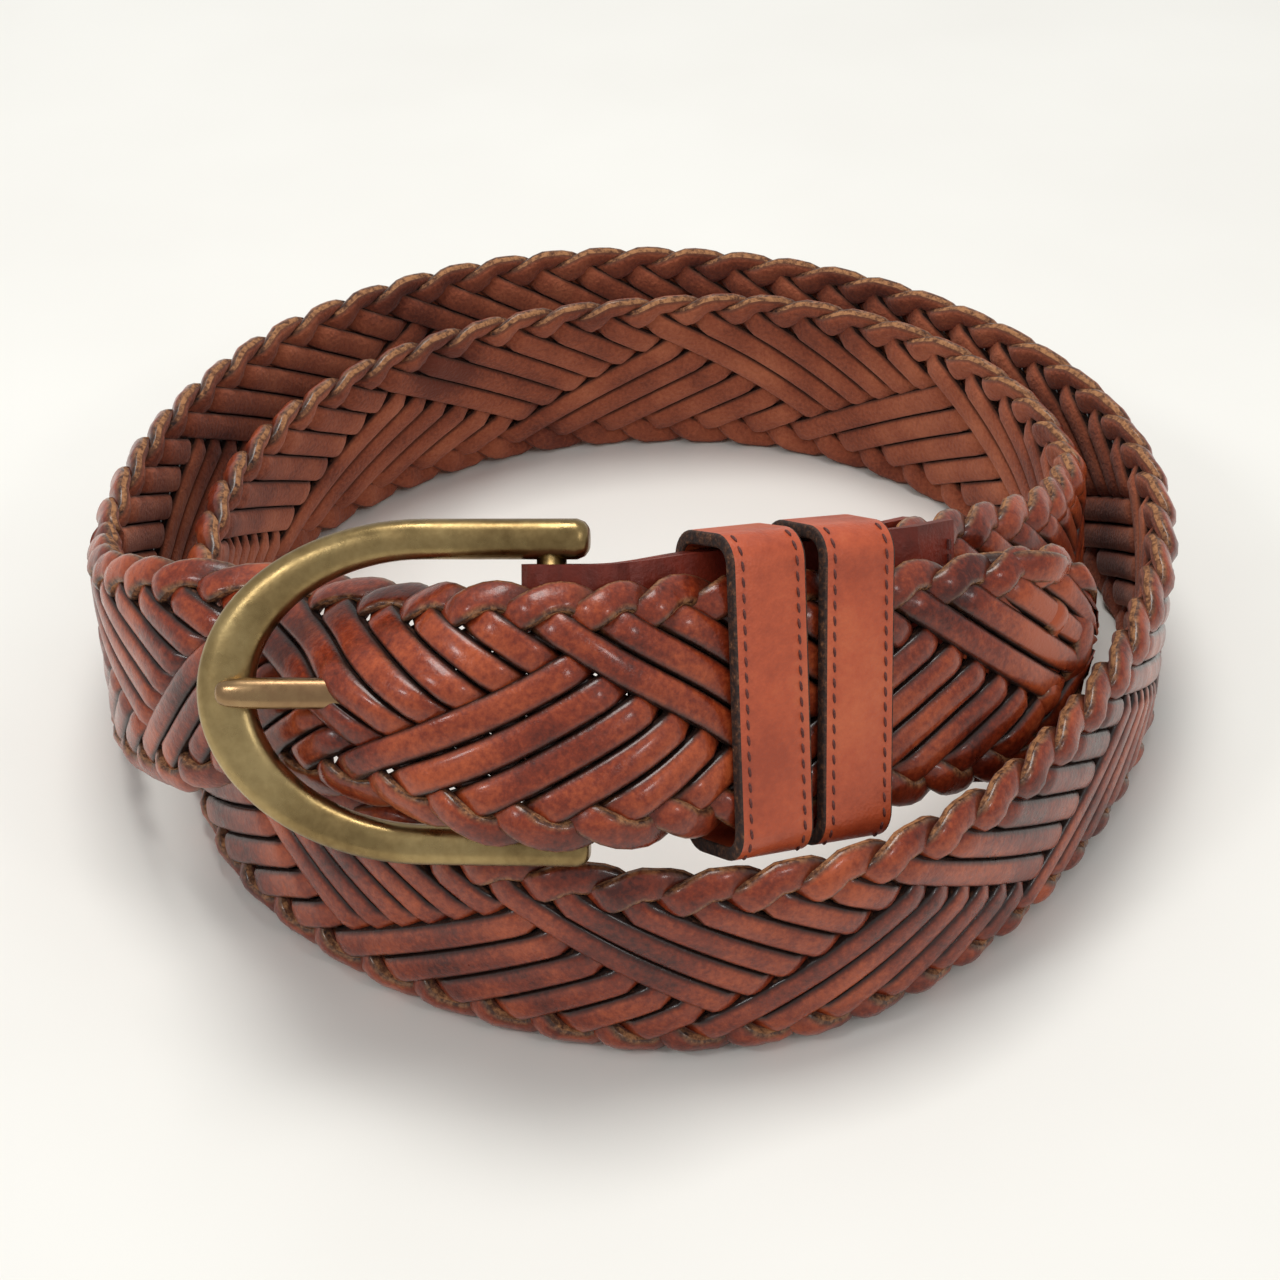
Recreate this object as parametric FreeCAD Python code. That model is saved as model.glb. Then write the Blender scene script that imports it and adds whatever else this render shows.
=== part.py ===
import FreeCAD, Part
import math
import os

# Braided leather belt, fastened, and coiled in two turns that stand on the bottom edge.
# Millimetres, +Z up. The origin is on the floor under the middle of the belt, and the buckle is
# at the front, towards -Y. The strap follows one path: from the heel bar of the buckle it runs
# behind its own front stretch, once round inside, once round outside, up through the buckle
# and along the front to the tip.

os.makedirs("parts", exist_ok=True)
Vec = FreeCAD.Vector

# --- strap: two layers of laces, drawn as lanes that follow the strap ---
STRAP_WIDTH = 35.0        # over the turned edges of the plait
ROWS = 6                  # laces side by side in each layer
LACE_THICK = 2.1
LACE_GAP = 0.3            # between neighbouring laces
LAYER_GAP = 0.2           # between the two layers
HALF_THICK = LACE_THICK + LAYER_GAP / 2
HALF_WIDTH = STRAP_WIDTH / 2
TIP_LENGTH = 24.0         # length over which the tip narrows
TIP_SHARE = 0.45          # share of the width that is left at the very end
SECTION_STEP = 9.0        # between the cross-sections of a lace on the plain coil
FINE_STEP = 3.5           # the same near the chape and through the buckle
WORN_FLAT = 0.05          # taken off the bottom edge where the strap stands on it

# --- buckle ---
ARM_CLEAR = 0.1           # between a flat strap and each arm
ARM_WIDTH = 5.4
OPEN_HALF = HALF_WIDTH + ARM_CLEAR
BOW_LENGTH = 31.0         # length of the rounded end, outside
BOW_WIDTH = 7.8
BAR_FROM_BOW = 48.0       # heel bar to the outside of the bow
ARM_PAST_BAR = 5.0        # the open arm ends reach this far past the heel bar
FRAME_THICK = 5.0
FRAME_ROUND = 1.7
BAR_R = 2.0
BUCKLE_YAW = -5.2         # direction from the bow to the heel bar, degrees
BUCKLE_PITCH = 3.6
BUCKLE_LEAN = 34.0

# --- prong ---
PRONG_WIDTH = 4.2
PRONG_THICK = 3.4
PRONG_OVER_BOW = 4.2      # how far its tip reaches over the bow
COLLAR_R = 3.7
COLLAR_WIDTH = 4.4
COLLAR_CLEAR = 0.06       # running clearance round the heel bar
PRONG_REST_GAP = 0.15     # between the prong and the bow
SEAT_DEPTH = 0.4          # hollow in the bow for the prong

# --- chape: leather folded round the heel bar ---
CHAPE_NARROWER = 1.0      # than the strap
CHAPE_THICK = 1.9
CHAPE_LENGTH = 65.0       # heel bar to the end of the legs
CHAPE_CLEAR = 0.22        # round the heel bar, and on each side of what the legs hold
LEGS_MEET = 11.0          # the legs lie together from here
LEGS_PART = 51.0          # and open again here to take the start of the plait
PLAIT_START = 56.5
SLOT_CLEAR = 0.8          # each side of the collar
CHAPE_LIFT = 3.9          # the chape sits this much above the middle of the front run
RUN_GAP = 0.8             # between the chape and the front run

# --- keepers ---
KEEPER_LENGTH = 11.5      # along the strap
KEEPER_WALL = 1.8
KEEPER_ROUND = 3.6
KEEPER_SLACK_W = 1.8      # room inside, over the height of strap and chape
KEEPER_SLACK_N = 1.6      # room inside, over their thickness
KEEPER_GAP = 2.2          # between the two keepers
KEEPER_FIRST = 15.5       # from the start of the front run to the fixed keeper
KEEPER_SECOND = KEEPER_FIRST + KEEPER_LENGTH + KEEPER_GAP

# --- thread ---
STITCH = 1.4
STITCH_PITCH = 2.1
THREAD = 0.6
THREAD_HIGH = 0.35
ROW_FROM_EDGE = 1.5

# --- path of the strap ---
# On the floor: angle from +X in degrees, radius, lean of the top edge towards the middle.
INNER_TURN = [(30, 76.5, 3), (50, 77, 4), (70, 75.5, 7), (90, 72, 11), (110, 70.8, 12),
              (130, 70, 11), (150, 70, 9), (170, 69.8, 6), (190, 71, 5), (206, 73.5, 5), (222, 77, 6)]
OUTER_TURN = [(240, 80.5, 2), (257, 84, -2), (273, 86.8, -3), (289, 86.8, -3), (305, 83.8, -3),
              (322, 80.8, -1), (339, 80.8, 0), (355, 83, 0), (371, 85.6, 0), (388, 87.4, 0),
              (406, 87.8, 0), (424, 87.8, 0), (442, 87.8, 0), (460, 87.8, 0), (478, 87.8, 0),
              (496, 87.6, 0), (513, 86.2, 0), (529, 85.2, -1), (544, 84.6, -2)]
# Off the floor: x, y, height of the bottom edge in strap widths, lean.
RISING = [(-79.5, -28, 0.24, 2), (-69, -46.5, 0.56, 10), (-55.3, -60.8, 0.86, 24),
          (-37.3, -76.2, 1.12, 34), (-20, -82.2, 1.2, 35)]
FRONT_RUN = [(-3, -81.7, 1.17, 33), (11, -74.3, 1.05, 27), (25, -66.8, 0.94, 24),
             (39, -59, 0.82, 21), (52.6, -50, 0.69, 14), (65.2, -37.6, 0.56, 6)]
FALLING = [(61, -21.5, 0.43, 14), (68.5, -2, 0.2, 7), (71.4, 15, 0.05, 3)]
# Distances along the front run, from its start, that the chape follows behind it.
HEEL_AT = -8.5
FOLLOWED = [0.0, 8.0, 16.0, 24.0, 32.0, 41.0, 50.0]

# Through the buckle, as distances from the start of the front run.
SQUEEZE_AT = -42.0        # middle of the stretch that narrows to pass between the arms
SQUEEZE_HALF = 40.0
SQUEEZE_SHARE = 0.8
SQUEEZE_LIFT = 2.4        # and moves up, off the lower arm
CUP = 9.0                 # the edges bend this far back there
PART_AT = -29.0           # middle of the opening for the prong
PART_HALF = 35.0
PART_WIDTH = 8.8
PART_ABOVE = 0.9          # the opening is this much above the middle of the strap


def blend(x, low, high):
    t = min(1.0, max(0.0, (x - low) / (high - low)))
    return t * t * (3 - 2 * t)


def hump(x, middle, half):
    """1 over the middle third, falling to 0 at half from the middle."""
    return 1 - blend(abs(x - middle), half / 3, half)


def floor_height(lean):
    """Height of the strap's middle when its bottom edge stands on the floor."""
    tilt = math.radians(abs(lean))
    return HALF_WIDTH * math.cos(tilt) + HALF_THICK * math.sin(tilt)


def on_floor(angle, radius, lean):
    a = math.radians(angle)
    return (radius * math.cos(a), radius * math.sin(a), floor_height(lean), lean)


def off_floor(x, y, rise, lean):
    return (x, y, rise * STRAP_WIDTH + HALF_WIDTH * math.cos(math.radians(lean)), lean)


def smooth_line(guides, steps=12):
    """Catmull-Rom curve through the guides, with the lean as a fourth coordinate."""
    first = tuple(2 * a - b for a, b in zip(guides[0], guides[1]))
    last = tuple(2 * a - b for a, b in zip(guides[-1], guides[-2]))
    g = [first] + list(guides) + [last]
    line = []
    for i in range(1, len(g) - 2):
        for k in range(steps):
            t = k / steps
            line.append([0.5 * (2 * b + (c - a) * t + (2 * a - 5 * b + 4 * c - d) * t ** 2
                                + (3 * b - a - 3 * c + d) * t ** 3)
                         for a, b, c, d in zip(g[i - 1], g[i], g[i + 1], g[i + 2])])
    line.append(list(guides[-1]))
    for p in line:
        p[2] = max(p[2], floor_height(p[3]))
    return line


def directions(along, lean):
    """Axes of the strap: along it, up its width, and out of its grain side."""
    along = Vec(along).normalize()
    level = (Vec(0, 0, 1) - along * along.z).normalize()
    out = along.cross(level)
    tilt = math.radians(lean)
    up = level * math.cos(tilt) - out * math.sin(tilt)
    return along, up, along.cross(up)


class Path:
    """The middle of the strap, with places found by the distance along it."""

    def __init__(self, guides):
        line = smooth_line(guides)
        self.leans = [p[3] for p in line]
        self.points = [Vec(*p[:3]) for p in line]
        self.at = [0.0]
        for a, b in zip(self.points, self.points[1:]):
            self.at.append(self.at[-1] + a.distanceToPoint(b))
        self.length = self.at[-1]

    def place(self, s):
        """Point and axes at the distance s."""
        s = min(max(s, 0.0), self.length)
        i = 1
        while i < len(self.at) - 1 and self.at[i] < s:
            i += 1
        f = (s - self.at[i - 1]) / (self.at[i] - self.at[i - 1])
        point = self.points[i - 1] * (1 - f) + self.points[i] * f
        lean = self.leans[i - 1] * (1 - f) + self.leans[i] * f
        before = self.points[max(i - 2, 0)]
        after = self.points[min(i + 1, len(self.points) - 1)]
        return (point,) + directions(after - before, lean)

    def nearest(self, target):
        return min(zip(self.points, self.at), key=lambda pair: pair[0].distanceToPoint(target))[1]


def matrix(x_axis, y_axis, z_axis, origin):
    return FreeCAD.Matrix(x_axis.x, y_axis.x, z_axis.x, origin.x, x_axis.y, y_axis.y, z_axis.y, origin.y,
                          x_axis.z, y_axis.z, z_axis.z, origin.z, 0, 0, 0, 1)


OUTER_GUIDES = [on_floor(*g) for g in OUTER_TURN] + [off_floor(*g) for g in RISING + FRONT_RUN]
RUN_START = Vec(*off_floor(*FRONT_RUN[0])[:3])
FRONT = Path(OUTER_GUIDES)
FRONT_AT = FRONT.nearest(RUN_START)


def leg_inside(s):
    """Half the space between the two legs of the chape, at s from the heel bar."""
    at_bar, together, on_plait = BAR_R + CHAPE_CLEAR, CHAPE_CLEAR, HALF_THICK + CHAPE_CLEAR
    if s < LEGS_PART:
        return at_bar + (together - at_bar) * blend(s, 1.0, LEGS_MEET)
    return together + (on_plait - together) * blend(s, LEGS_PART, PLAIT_START - 0.5)


def behind_run(at):
    """Guide for the chape: the stretch behind the front run."""
    point, along, up, out = FRONT.place(FRONT_AT + at)
    back = HALF_THICK + RUN_GAP + CHAPE_THICK + leg_inside(at - HEEL_AT)
    place = point - out * back + up * CHAPE_LIFT
    lean = math.degrees(math.acos(min(1.0, up.z / (Vec(0, 0, 1) - along * along.z).Length)))
    return (place.x, place.y, place.z, lean)


BEHIND = [behind_run(at) for at in [HEEL_AT] + FOLLOWED] + [off_floor(*g) for g in FALLING]
PATH = Path(BEHIND + [on_floor(*g) for g in INNER_TURN] + OUTER_GUIDES)
RUN_AT = PATH.nearest(RUN_START)      # distance along the whole path where the front run starts


def width_share(s):
    """Share of the full width: the plait narrows through the buckle and at its tip."""
    squeeze = 1 - (1 - SQUEEZE_SHARE) * hump(s - RUN_AT, SQUEEZE_AT, SQUEEZE_HALF)
    into_tip = max(0.0, 1 - (PATH.length - s) / TIP_LENGTH)
    return squeeze * (TIP_SHARE + (1 - TIP_SHARE) * math.sqrt(max(0.0, 1 - into_tip ** 2)))


def across(s, v):
    """Where a point v above the middle of the flat strap lies at s, parted for the prong."""
    shift = PART_ABOVE + (PART_WIDTH if v > 0 else -PART_WIDTH) / 2
    v += hump(s - RUN_AT, PART_AT, PART_HALF) * shift * (1 - abs(v) / HALF_WIDTH)
    return v * width_share(s) + SQUEEZE_LIFT * hump(s - RUN_AT, SQUEEZE_AT, SQUEEZE_HALF)


def strap_point(s, v, depth):
    """Point of the strap: s along it, v up its width, depth out of its middle layer."""
    point, _, up, out = PATH.place(s)
    w = across(s, v)
    cup = CUP * (hump(s - RUN_AT, SQUEEZE_AT, SQUEEZE_HALF) * w / HALF_WIDTH) ** 2
    return point + up * w + out * (depth - cup)


def section_stops():
    """Distances of the cross-sections, closer together where the strap bends or fits."""
    stops = [PLAIT_START]
    while stops[-1] < PATH.length:
        s = stops[-1]
        fine = s < CHAPE_LENGTH + 12 or RUN_AT - 80 < s < RUN_AT + 5 or s > PATH.length - TIP_LENGTH - 4
        stops.append(s + (FINE_STEP if fine else SECTION_STEP))
    stops[-1] = PATH.length
    return stops


def ribbon(sections):
    """Closed solid through four-cornered sections."""
    return Part.makeLoft([Part.makePolygon(list(c) + [c[0]]) for c in sections], True, True)


def lace(row, layer):
    low = row * STRAP_WIDTH / ROWS - HALF_WIDTH + LACE_GAP / 2
    high = low + STRAP_WIDTH / ROWS - LACE_GAP
    inner, outer = (LAYER_GAP / 2, HALF_THICK) if layer else (-HALF_THICK, -LAYER_GAP / 2)
    corners = ((low, inner), (high, inner), (high, outer), (low, outer))
    strip = ribbon([[strap_point(s, v, d) for v, d in corners] for s in section_stops()])
    if row > 0:
        return strip
    floor = Part.makeBox(300, 300, STRAP_WIDTH, Vec(-150, -150, LACE_GAP / 2 + WORN_FLAT - STRAP_WIDTH))
    return strip.cut(floor)


# --- buckle, drawn flat with the bow's outside at x = 0, then put in place ---
BAR_CENTRE = PATH.points[0]


def buckle_axes():
    yaw, pitch = math.radians(BUCKLE_YAW), math.radians(BUCKLE_PITCH)
    along = Vec(math.cos(pitch) * math.cos(yaw), math.cos(pitch) * math.sin(yaw), math.sin(pitch))
    return directions(along, BUCKLE_LEAN)


def on_buckle(shape):
    along, up, out = buckle_axes()
    return shape.transformed(matrix(along, up, out, BAR_CENTRE - along * BAR_FROM_BOW))


def horseshoe(half_width, bow, length, thick):
    """Flat horseshoe plate: half an ellipse and two straight sides."""
    middle = Part.Ellipse(Vec(BOW_LENGTH, 0, -thick / 2), bow, half_width)
    rounded = Part.Arc(middle, math.pi / 2, 3 * math.pi / 2).toShape()
    corners = [Vec(x, y, -thick / 2) for x, y in
               ((BOW_LENGTH, -half_width), (length, -half_width), (length, half_width), (BOW_LENGTH, half_width))]
    sides = [Part.makeLine(a, b) for a, b in zip(corners, corners[1:])]
    return Part.Face(Part.Wire([rounded] + sides)).extrude(Vec(0, 0, thick))


def buckle_frame():
    length = BAR_FROM_BOW + ARM_PAST_BAR
    frame = horseshoe(OPEN_HALF + ARM_WIDTH, BOW_LENGTH, length, FRAME_THICK)
    frame = frame.cut(horseshoe(OPEN_HALF, BOW_LENGTH - BOW_WIDTH, length + 1, FRAME_THICK + 2))
    frame = frame.makeFillet(FRAME_ROUND, frame.Edges)
    into_arm = ARM_WIDTH / 3
    bar = Part.makeCylinder(BAR_R, 2 * (OPEN_HALF + into_arm),
                            Vec(BAR_FROM_BOW, -OPEN_HALF - into_arm, 0), Vec(0, 1, 0))
    seat_half = PRONG_WIDTH / 2 + SEAT_DEPTH
    seat = Part.makeBox(BOW_WIDTH + 2, 2 * seat_half, 1, Vec(-1, -seat_half, FRAME_THICK / 2 - SEAT_DEPTH))
    return on_buckle(frame.fuse(bar).cut(seat).removeSplitter())


def buckle_prong():
    rest = FRAME_THICK / 2 - SEAT_DEPTH + PRONG_REST_GAP
    tip_x = BOW_WIDTH - PRONG_OVER_BOW
    nose = PRONG_THICK / 2
    upper = [Vec(BAR_FROM_BOW, 0, COLLAR_R), Vec(tip_x + nose, 0, rest + PRONG_THICK)]
    lower = [Vec(tip_x + nose, 0, rest), Vec(BOW_WIDTH + 3, 0, rest),
             Vec(BAR_FROM_BOW - COLLAR_R, 0, COLLAR_R - PRONG_THICK - 0.3),
             Vec(BAR_FROM_BOW, 0, COLLAR_R - PRONG_THICK)]
    edges = [Part.makeLine(*upper), Part.Arc(upper[1], Vec(tip_x, 0, rest + nose), lower[0]).toShape()]
    edges += [Part.makeLine(a, b) for a, b in zip(lower, lower[1:])] + [Part.makeLine(lower[-1], upper[0])]
    shank = Part.Face(Part.Wire(edges)).extrude(Vec(0, PRONG_WIDTH, 0))
    shank.translate(Vec(0, -PRONG_WIDTH / 2, 0))
    collar = Part.makeCylinder(COLLAR_R, COLLAR_WIDTH, Vec(BAR_FROM_BOW, -COLLAR_WIDTH / 2, 0), Vec(0, 1, 0))
    bore = Part.makeCylinder(BAR_R + COLLAR_CLEAR, 2 * COLLAR_WIDTH,
                             Vec(BAR_FROM_BOW, -COLLAR_WIDTH, 0), Vec(0, 1, 0))
    return on_buckle(collar.fuse(shank).cut(bore).removeSplitter())


# --- chape ---
def chape_axes(s):
    """The chape turns from the direction of the heel bar to that of the strap."""
    point, along, up, _ = PATH.place(s)
    f = blend(s, 0, LEGS_MEET)
    up = (buckle_axes()[1] * (1 - f) + up * f).normalize()
    return point, along, up, along.cross(up).normalize()


def chape():
    half = (STRAP_WIDTH - CHAPE_NARROWER) / 2
    stops = [CHAPE_LENGTH * i / 30 for i in range(31)]
    legs = []
    for side in (1, -1):
        sections = []
        for s in stops:
            point, _, up, out = chape_axes(s)
            a, b = side * leg_inside(s), side * (leg_inside(s) + CHAPE_THICK)
            sections.append([point + up * v + out * d
                             for v, d in ((-half, a), (half, a), (half, b), (-half, b))])
        legs.append(ribbon(sections))
    point, _, up, out = chape_axes(0)
    inner, outer = leg_inside(0), leg_inside(0) + CHAPE_THICK
    base = point - up * half
    fold = Part.makeCylinder(outer, 2 * half, base, up).cut(Part.makeCylinder(inner, 2 * half, base, up))
    back_half = Part.makeBox(outer + 1, 2 * half + 2, 2 * outer + 2, Vec(-outer - 1, -1, -outer - 1))
    fold = fold.common(back_half.transformed(matrix(up.cross(out), up, out, base)))
    slot_half = COLLAR_WIDTH / 2 + SLOT_CLEAR
    slot = Part.makeBox(LEGS_MEET + outer, 2 * slot_half, 8 * outer,
                        Vec(BAR_FROM_BOW - outer - 1, -slot_half, -4 * outer))
    return legs[0].fuse([legs[1], fold]).cut(on_buckle(slot)).removeSplitter()


def stitch_row(place, count):
    """Short threads in a row along y on the plane z = 0, put in place by a matrix."""
    row = []
    for i in range(count):
        y = (i - (count - 1) / 2) * STITCH_PITCH
        row.append(Part.makeBox(THREAD, STITCH, THREAD_HIGH,
                                Vec(-THREAD / 2, y - STITCH / 2, 0)).transformed(place))
    return row


def chape_stitching():
    """A row across each leg near the end of the chape."""
    s = CHAPE_LENGTH - ROW_FROM_EDGE
    point, along, up, out = chape_axes(s)
    face = leg_inside(s) + CHAPE_THICK + 0.02
    count = int((STRAP_WIDTH - CHAPE_NARROWER - 2 * ROW_FROM_EDGE) / STITCH_PITCH)
    front = matrix(along, up, along.cross(up), point + out * face)
    back = matrix(along, -up, -along.cross(up), point - out * face)
    return Part.makeCompound(stitch_row(front, count) + stitch_row(back, count))


# --- keepers ---
KEEPER_W = STRAP_WIDTH + CHAPE_LIFT - CHAPE_NARROWER / 2 + KEEPER_SLACK_W
CHAPE_BACK = 2 * (CHAPE_THICK + CHAPE_CLEAR)
KEEPER_N = 2 * HALF_THICK + RUN_GAP + CHAPE_BACK + KEEPER_SLACK_N


def keeper_place(start):
    """Matrix of a keeper whose near edge is start along the front run."""
    middle, along, up, out = PATH.place(RUN_AT + start + KEEPER_LENGTH / 2)
    lift = (CHAPE_LIFT - CHAPE_NARROWER / 2) / 2
    back = (RUN_GAP + CHAPE_BACK) / 2
    return matrix(along, up, out, middle - along * KEEPER_LENGTH / 2 + up * lift - out * back)


def round_bar(wide, deep, radius):
    bar = Part.makeBox(KEEPER_LENGTH, wide, deep, Vec(0, -wide / 2, -deep / 2))
    return bar.makeFillet(radius, [e for e in bar.Edges if abs(e.tangentAt(0).x) > 0.9])


def keeper(start):
    outside = round_bar(KEEPER_W + 2 * KEEPER_WALL, KEEPER_N + 2 * KEEPER_WALL, KEEPER_ROUND)
    inside = round_bar(KEEPER_W, KEEPER_N, KEEPER_ROUND - KEEPER_WALL)
    return outside.cut(inside).transformed(keeper_place(start))


def keeper_stitching(start):
    face = KEEPER_N / 2 + KEEPER_WALL
    count = int((KEEPER_W - 2 * KEEPER_ROUND) / STITCH_PITCH)
    stitches = []
    for x in (ROW_FROM_EDGE, KEEPER_LENGTH - ROW_FROM_EDGE):
        place = keeper_place(start).multiply(matrix(Vec(1, 0, 0), Vec(0, 1, 0), Vec(0, 0, 1), Vec(x, 0, face)))
        stitches += stitch_row(place, count)
    return Part.makeCompound(stitches)


def all_parts():
    parts = {
        "buckle_frame": buckle_frame(),
        "buckle_prong": buckle_prong(),
        "chape": chape(),
        "chape_stitching": chape_stitching(),
        "keeper_fixed": keeper(KEEPER_FIRST),
        "keeper_fixed_stitching": keeper_stitching(KEEPER_FIRST),
        "keeper_sliding": keeper(KEEPER_SECOND),
        "keeper_sliding_stitching": keeper_stitching(KEEPER_SECOND),
    }
    for i in range(2 * ROWS):
        parts["lace_%02d" % (i + 1)] = lace(i % ROWS, i // ROWS)
    return parts


PARTS = all_parts()
BOX = Part.makeCompound(list(PARTS.values())).optimalBoundingBox(False)
TO_ORIGIN = Vec(-BOX.Center.x, -BOX.Center.y, -BOX.ZMin)
for name, shape in PARTS.items():
    shape.translate(TO_ORIGIN)
    shape.exportStep("parts/%s.step" % name)
    print(name, "volume %.1f" % shape.Volume, "valid", shape.isValid())
print("strap length %.1f" % PATH.length, "moved by", TO_ORIGIN)
print("heel bar at", BAR_CENTRE + TO_ORIGIN, "along", buckle_axes()[1])
print("sliding keeper moves along", PATH.place(RUN_AT + KEEPER_SECOND + KEEPER_LENGTH / 2)[1])
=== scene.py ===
# %% [markdown]
# # A braided leather belt
#
# The belt is fastened and coiled in two turns that stand on their bottom edge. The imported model
# holds its plain solids, in metres. They stay where they are, and the new pieces are made round
# them, so the frame is loaded first and its box is kept. New pieces could be fitted by eye, but
# pieces that are worked out from the same sizes as the solids need no fitting.

# %% The frame
import math
import bmesh
import bpy
import numpy as np
from mathutils import Matrix, Vector


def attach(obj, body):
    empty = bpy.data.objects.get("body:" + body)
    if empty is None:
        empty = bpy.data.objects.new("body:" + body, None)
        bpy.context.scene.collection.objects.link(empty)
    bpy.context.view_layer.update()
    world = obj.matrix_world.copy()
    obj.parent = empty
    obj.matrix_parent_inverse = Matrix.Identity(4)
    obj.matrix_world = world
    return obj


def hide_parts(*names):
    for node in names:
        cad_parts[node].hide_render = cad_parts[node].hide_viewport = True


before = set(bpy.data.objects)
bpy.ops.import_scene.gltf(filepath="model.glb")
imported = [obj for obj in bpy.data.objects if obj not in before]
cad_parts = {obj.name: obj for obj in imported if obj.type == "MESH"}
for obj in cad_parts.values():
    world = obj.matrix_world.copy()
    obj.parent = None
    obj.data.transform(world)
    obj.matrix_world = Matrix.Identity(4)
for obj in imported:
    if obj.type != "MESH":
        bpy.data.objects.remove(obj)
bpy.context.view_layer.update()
MM = 0.001

# %% [markdown]
# ## Camera, light and floor
#
# The belt is looked down on from the front, with a moderately long lens, so that the near and the
# far side of the coil differ only a little in size.

# %% Camera
CAMERA_AT = (0.0005, -0.3390, 0.2633)
CAMERA_DOWN = 36.8            # degrees below level
LENS = 72.0

camera_data = bpy.data.cameras.new("camera")
camera_data.lens = LENS
camera_data.sensor_width = 36.0
camera_data.clip_start = 0.01
camera = bpy.data.objects.new("camera", camera_data)
camera.location = CAMERA_AT
camera.rotation_euler = (math.radians(90 - CAMERA_DOWN), 0, 0)
bpy.context.scene.collection.objects.link(camera)
bpy.context.scene.camera = camera
print("camera looks down", CAMERA_DOWN, "degrees")

# %% [markdown]
# A product is often lit inside a white tent. Here the white world is the tent, and a lamp over the
# belt makes the highlights on the polished leather. Two weak lamps at the sides fill the shadows.
# A lamp that is large for its distance gives soft shadows, so the sizes matter as much as the
# watts.

# %% Light
LAMPS = {                     # place, size, watts and colour
    "lamp_over": ((-0.06, 0.12, 0.9), 0.4, 4.8, (1.0, 0.99, 0.96)),
    "lamp_left": ((-0.6, -0.45, 0.7), 0.14, 1.2, (1.0, 1.0, 1.0)),
    "lamp_right": ((0.5, -0.55, 0.6), 0.12, 0.7, (1.0, 1.0, 1.0)),
}
LAMPS_FACE = Vector((0, 0, 0.03))
TENT_STRENGTH = 0.56

for name, (place, size, watts, colour) in LAMPS.items():
    data = bpy.data.lights.new(name, "AREA")
    data.size, data.energy, data.color = size, watts, colour
    lamp = bpy.data.objects.new(name, data)
    lamp.location = place
    lamp.rotation_euler = (Vector(place) - LAMPS_FACE).to_track_quat("Z", "Y").to_euler()
    bpy.context.scene.collection.objects.link(lamp)

world = bpy.data.worlds.new("studio")
world.use_nodes = True
world.node_tree.nodes["Background"].inputs["Color"].default_value = (1.0, 1.0, 0.99, 1)
world.node_tree.nodes["Background"].inputs["Strength"].default_value = TENT_STRENGTH
bpy.context.scene.world = world
bpy.context.scene.view_settings.view_transform = "Standard"
print(len(LAMPS), "lamps in a white tent")


# %% [markdown]
# ## How a material is made
#
# A material here is a Principled shader with a few nodes in front of it. The nodes could be added
# and linked one by one, but then the links hide the recipe. `Finish` keeps the node tree and adds
# a node with its inputs in one call. A value that is the same all over goes straight on the
# shader's own socket.

# %% Building a finish
class Finish:
    """A material, with short calls for the nodes that the finishes below are made of."""

    def __init__(self, name, rough=0.5, **constants):
        self.material = bpy.data.materials.new(name)
        self.material.use_nodes = True
        self.tree = self.material.node_tree
        self.shader = self.tree.nodes["Principled BSDF"]
        self.shader.inputs["Roughness"].default_value = rough
        for socket, value in constants.items():
            self.shader.inputs[socket.replace("_", " ")].default_value = value

    def put(self, socket, value):
        if isinstance(value, bpy.types.NodeSocket):
            self.tree.links.new(value, socket)
        else:
            socket.default_value = value

    def node(self, kind, inputs=None, **settings):
        """Adds a node. An input is a number, a colour or another node's socket."""
        node = self.tree.nodes.new(kind)
        for key, value in settings.items():
            setattr(node, key, value)
        for key, value in (inputs or {}).items():
            self.put(node.inputs[key], value)
        return node

    def use(self, socket, value):
        self.put(self.shader.inputs[socket], value)

    def place(self):
        """Object coordinates, in metres."""
        return self.node("ShaderNodeTexCoord").outputs["Object"]

    def read(self, name):
        """The value of a point attribute."""
        return self.node("ShaderNodeAttribute", attribute_name=name).outputs["Fac"]

    def noise(self, vector, scale, detail=3.0, rough=0.55):
        inputs = {"Vector": vector, "Scale": scale, "Detail": detail, "Roughness": rough}
        return self.node("ShaderNodeTexNoise", inputs).outputs["Fac"]

    def maths(self, operation, a, b):
        node = self.node("ShaderNodeMath", operation=operation)
        self.put(node.inputs[0], a)
        self.put(node.inputs[1], b)
        return node.outputs["Value"]

    def add(self, a, b):
        return self.maths("ADD", a, b)

    def times(self, a, b):
        return self.maths("MULTIPLY", a, b)

    def patches(self, vector, large, small, share):
        """Large soft patches with small ones in them. Each is a scale and a detail."""
        both = self.add(self.noise(vector, *large), self.times(self.noise(vector, *small), share))
        return self.times(both, 1 / (1 + share))

    def ramp(self, value, *stops):
        """Maps a value to a grey or a colour through (position, colour) stops."""
        node = self.node("ShaderNodeValToRGB", {"Fac": value})
        marks = node.color_ramp.elements
        while len(marks) < len(stops):
            marks.new(0.5)
        for mark, (position, colour) in zip(marks, stops):
            grey = isinstance(colour, (int, float))
            mark.position = position
            mark.color = (colour,) * 3 + (1,) if grey else tuple(colour) + (1,)
        return node.outputs["Color"]

    def mix(self, factor, a, b, how="MIX"):
        node = self.node("ShaderNodeMix", data_type="RGBA", blend_type=how)
        self.put(node.inputs["Factor"], factor)
        for key, value in (("A", a), ("B", b)):
            socket = [i for i in node.inputs if i.name == key and i.type == "RGBA"][0]
            self.put(socket, value if isinstance(value, bpy.types.NodeSocket) else tuple(value) + (1,))
        return [o for o in node.outputs if o.type == "RGBA"][0]

    def bump(self, height, depth_mm):
        inputs = {"Height": height, "Distance": depth_mm * MM, "Strength": 1.0}
        self.use("Normal", self.node("ShaderNodeBump", inputs).outputs["Normal"])


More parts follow.
